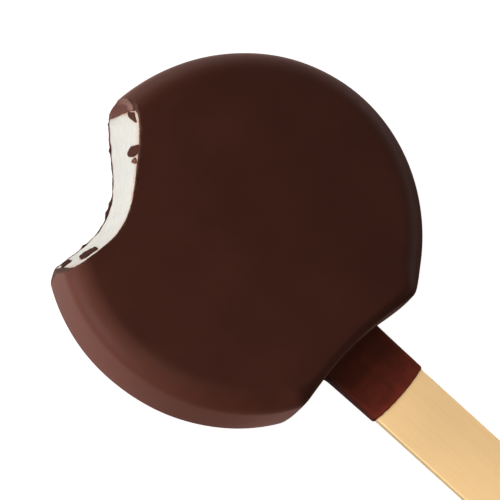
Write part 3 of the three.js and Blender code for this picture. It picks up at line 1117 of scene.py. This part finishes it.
def soft_light(lamp, watts):
    """A soft light that faces the bar from its turn and rise, and that the camera doesn't see."""
    name = f"lamp {lamp['turn']} {lamp['rise']}"
    data = bpy.data.lights.new(name, "AREA")
    data.shape = "RECTANGLE"
    data.size, data.size_y = lamp["size"]
    data.energy = watts
    light = bpy.data.objects.new(name, data)
    turned, rise = math.radians(lamp["turn"]), math.radians(lamp["rise"])
    level = math.cos(rise)
    outward = Vector((level * math.cos(turned), level * math.sin(turned), math.sin(rise)))
    light.location = outward * lamp.get("away", LAMP_DISTANCE) + Vector((0, 0, BAR_TOP / 2))
    light.rotation_euler = (-outward).to_track_quat("-Z", "Y").to_euler()
    light.visible_camera = False
    light.visible_glossy = lamp.get("mirrored", True)
    bpy.context.scene.collection.objects.link(light)
    return light


def keep_light(light, state, names):
    """Keeps a light to the named pieces, or off them, as flags do in a studio."""
    if not names:
        return
    pieces = bpy.data.collections.new(f"{light.name} {state.lower()}")
    for name in names:
        pieces.objects.link(bpy.data.objects[name])
    for entry in pieces.collection_objects:
        entry.light_linking.link_state = state
    light.light_linking.receiver_collection = pieces


def build_room(scene, stage):
    """Dim surroundings, pale from below as a lit floor is, and more so toward the tip's side."""
    world = bpy.data.worlds.new("room")
    nodes = Nodes(world)
    direction = nodes.node("ShaderNodeTexCoord", {}, {}).outputs["Generated"]
    parts = nodes.node("ShaderNodeSeparateXYZ", {}, {"Vector": direction})
    under = (Amount(nodes, parts.outputs["Z"]) * -1).step(-0.3, 0.05)
    toward_tip = Amount(nodes, parts.outputs["Y"]).step(-0.3, 0.5)
    background = nodes.tree.nodes["Background"].inputs
    nodes.feed(background["Strength"], under * toward_tip * stage.ground + stage.sky)
    nodes.feed(background["Color"], (1, 1, 1))
    scene.world = world


def build_camera(scene, stage):
    """A camera that looks down on the bar from a little to its left, turned to the picture."""
    lean, dip = stage.camera_lean, stage.camera_dip
    upright = math.cos(lean)
    toward = Vector((-math.sin(lean), -math.sin(dip) * upright, math.cos(dip) * upright))
    toward.normalize()
    tip = Vector((0, 1, 0)) - toward.y * toward
    tip.normalize()
    side = tip.cross(toward)
    cosine, sine = math.cos(stage.camera_roll), math.sin(stage.camera_roll)
    right = side * sine + tip * cosine
    up = tip * sine - side * cosine
    camera_data = bpy.data.cameras.new("camera")
    camera_data.sensor_width = SENSOR
    camera_data.lens = SENSOR * stage.camera_distance / stage.picture_width
    camera_data.clip_start = 0.01
    camera = bpy.data.objects.new("camera", camera_data)
    place = Vector((0, 0, BAR_TOP / 2)) + toward * stage.camera_distance
    place += right * stage.aside - up * stage.below
    turned = Matrix((right, up, toward)).transposed().to_4x4()
    camera.matrix_world = Matrix.Translation(place) @ turned
    scene.collection.objects.link(camera)
    scene.camera = camera
    scene.view_settings.view_transform = "Standard"


# --- operators


class COAT_OT_build(bpy.types.Operator):
    """Builds the coat: the bar's form, hollow for the filling and the stick, and cut by the bite."""

    bl_idname = "ice_bar.coat"
    bl_label = "Coat"

    def execute(self, context):
        scene = context.scene
        bar, bite, stick = scene.bar_sizes, scene.bite_sizes, scene.stick_sizes
        coat = lofted("coat", rippled(bar_rings(0, 0, bar.around, 16, bar), bar))
        cavity = lofted("cavity", inner_rings(0, bar))
        room = lofted("stick_room", stick_rings(stick, STICK_ROOM))
        cutter = bite_cutter(lambda angle, z: coat_edge(angle, z, bar, bite), 1)
        finishes = (chocolate_finish(scene.bar_colours), cut_chocolate_finish(scene.bar_colours))
        carve(coat, finishes, cavity, room, cutter)
        places = vertex_places(coat)
        # This tells the side's paler cut face from the faces' cut face, which is darkened by painted
        # shade.
        store(coat, "in_side", side_coat_share(places, bar))
        # Where the cut face by the filling takes its painted shadow.
        store(coat, "shade_by_filling", np.exp(-np.abs(inside_coat(places, bar)) / SHADOW_FADE))
        sharpen(coat, 34)
        dress(coat, "chocolate")
        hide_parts("chocolate_coat")
        return {"FINISHED"}


class STICK_OT_build(bpy.types.Operator):
    """Builds the wooden stick, with eased edges and half round ends."""

    bl_idname = "ice_bar.stick"
    bl_label = "Stick"

    def execute(self, context):
        scene = context.scene
        sizes = scene.stick_sizes
        stick = lofted("wooden_stick", stick_rings(sizes))
        from_face = sizes.thickness / 2 - np.abs(vertex_places(stick)[2] - BAR_TOP / 2)
        # Where the stick's sides are, whose colour is darkened by painted shade.
        store(stick, "cut_side", smoothstep(from_face, 0.05 * MM, 0.25 * MM))
        sharpen(stick, 40)
        dress(stick, "wood", wood_finish(scene.bar_colours, sizes))
        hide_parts("stick")
        return {"FINISHED"}


class SKIN_OT_build(bpy.types.Operator):
    """Builds the skin of coating round the first part of the stick, up to its bowed thin end."""

    bl_idname = "ice_bar.skin"
    bl_label = "Skin on the stick"

    def execute(self, context):
        scene = context.scene
        stick, bar = scene.stick_sizes, scene.bar_sizes
        skin = wrapped("stick_skin", skin_rings(stick, bar))
        store(skin, "thinness", skin_thinness(vertex_places(skin), stick, bar))
        sharpen(skin, 50)
        dress(skin, "chocolate", skin_finish(scene.bar_colours, stick))
        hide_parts("chocolate_coat")
        return {"FINISHED"}


class CHIPS_OT_build(bpy.types.Operator):
    """Builds the chips in the filling: shards with a flat broken face that follows the bite's wall."""

    bl_idname = "ice_bar.chips"
    bl_label = "Chips"

    def execute(self, context):
        scene = context.scene
        material = chip_finish(scene.bar_colours)
        for number, chip in enumerate(CHIPS):
            piece = lofted(f"chip_{chip['name']}", chip_rings(chip, scene.bite_sizes, 40 + number))
            store(piece, "light", np.full(len(piece.data.vertices), chip["light"]))
            sharpen(piece, 60)
            dress(piece, "chocolate", material)
            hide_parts("ice_cream")
        return {"FINISHED"}


class FILLING_OT_build(bpy.types.Operator):
    """Builds the filling: the bar's inside form, reaching just into the coat, cut by the bite."""

    bl_idname = "ice_bar.filling"
    bl_label = "Filling"

    def execute(self, context):
        scene = context.scene
        bar, bite = scene.bar_sizes, scene.bite_sizes
        filling = lofted("filling", inner_rings(bar.overlap, bar))
        cutter = bite_cutter(lambda angle, z: filling_relief(angle, z, bite), 0)
        carve(filling, [ice_cream_finish(scene.bar_colours)], cutter)
        places = vertex_places(filling)
        fades = blend(*TINT_FADES, smoothstep(places[2], BAR_TOP / 2, BAR_TOP * 0.8))
        near_coat = np.exp(-np.maximum(0, inside_coat(places, bar)) / fades)
        store(filling, "near_chocolate", np.maximum(near_coat, near_chips(places, bite)))
        sharpen(filling, 50)
        dress(filling, "ice_cream")
        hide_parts("ice_cream")
        return {"FINISHED"}


class STAGE_OT_build(bpy.types.Operator):
    """Builds the stage: a pale floor, soft lights, surroundings and a camera."""

    bl_idname = "ice_bar.stage"
    bl_label = "Stage"

    def execute(self, context):
        scene = context.scene
        stage = scene.stage_sizes
        build_floor(scene, stage)
        for lamp in LAMPS:
            light = soft_light(lamp, lamp["power"] * stage.light)
            keep_light(light, "INCLUDE", lamp.get("only", ()))
            keep_light(light, "EXCLUDE", lamp.get("spares", ()))
        build_room(scene, stage)
        build_camera(scene, stage)
        return {"FINISHED"}


# --- panel and registration

OPERATORS = (COAT_OT_build, SKIN_OT_build, FILLING_OT_build, CHIPS_OT_build, STICK_OT_build,
             STAGE_OT_build)
GROUPS = {
    "bar_sizes": BarSizes,
    "bite_sizes": BiteSizes,
    "stick_sizes": StickSizes,
    "bar_colours": Colours,
    "stage_sizes": StageSizes,
}


class BAR_PT_panel(bpy.types.Panel):
    """Lists the pieces of the bar, and the sizes and colours they are made from."""

    bl_label = "Ice Cream Bar"
    bl_idname = "BAR_PT_panel"
    bl_space_type = "VIEW_3D"
    bl_region_type = "UI"
    bl_category = "Ice Cream Bar"

    def draw(self, context):
        for operator in OPERATORS:
            self.layout.operator(operator.bl_idname)
        for name, group in GROUPS.items():
            box = self.layout.box()
            box.label(text=group.__doc__)
            for key in group.__annotations__:
                box.prop(getattr(context.scene, name), key)


def register():
    for cls in (*GROUPS.values(), *OPERATORS, BAR_PT_panel):
        bpy.utils.register_class(cls)
    for name, group in GROUPS.items():
        setattr(bpy.types.Scene, name, PointerProperty(type=group))


def unregister():
    for name in GROUPS:
        delattr(bpy.types.Scene, name)
    for cls in reversed((*GROUPS.values(), *OPERATORS, BAR_PT_panel)):
        bpy.utils.unregister_class(cls)


def main():
    register()
    bpy.ops.ice_bar.stick()
    bpy.ops.ice_bar.coat()
    bpy.ops.ice_bar.skin()
    bpy.ops.ice_bar.filling()
    bpy.ops.ice_bar.chips()
    bpy.ops.ice_bar.stage()


if __name__ == "__main__":
    main()
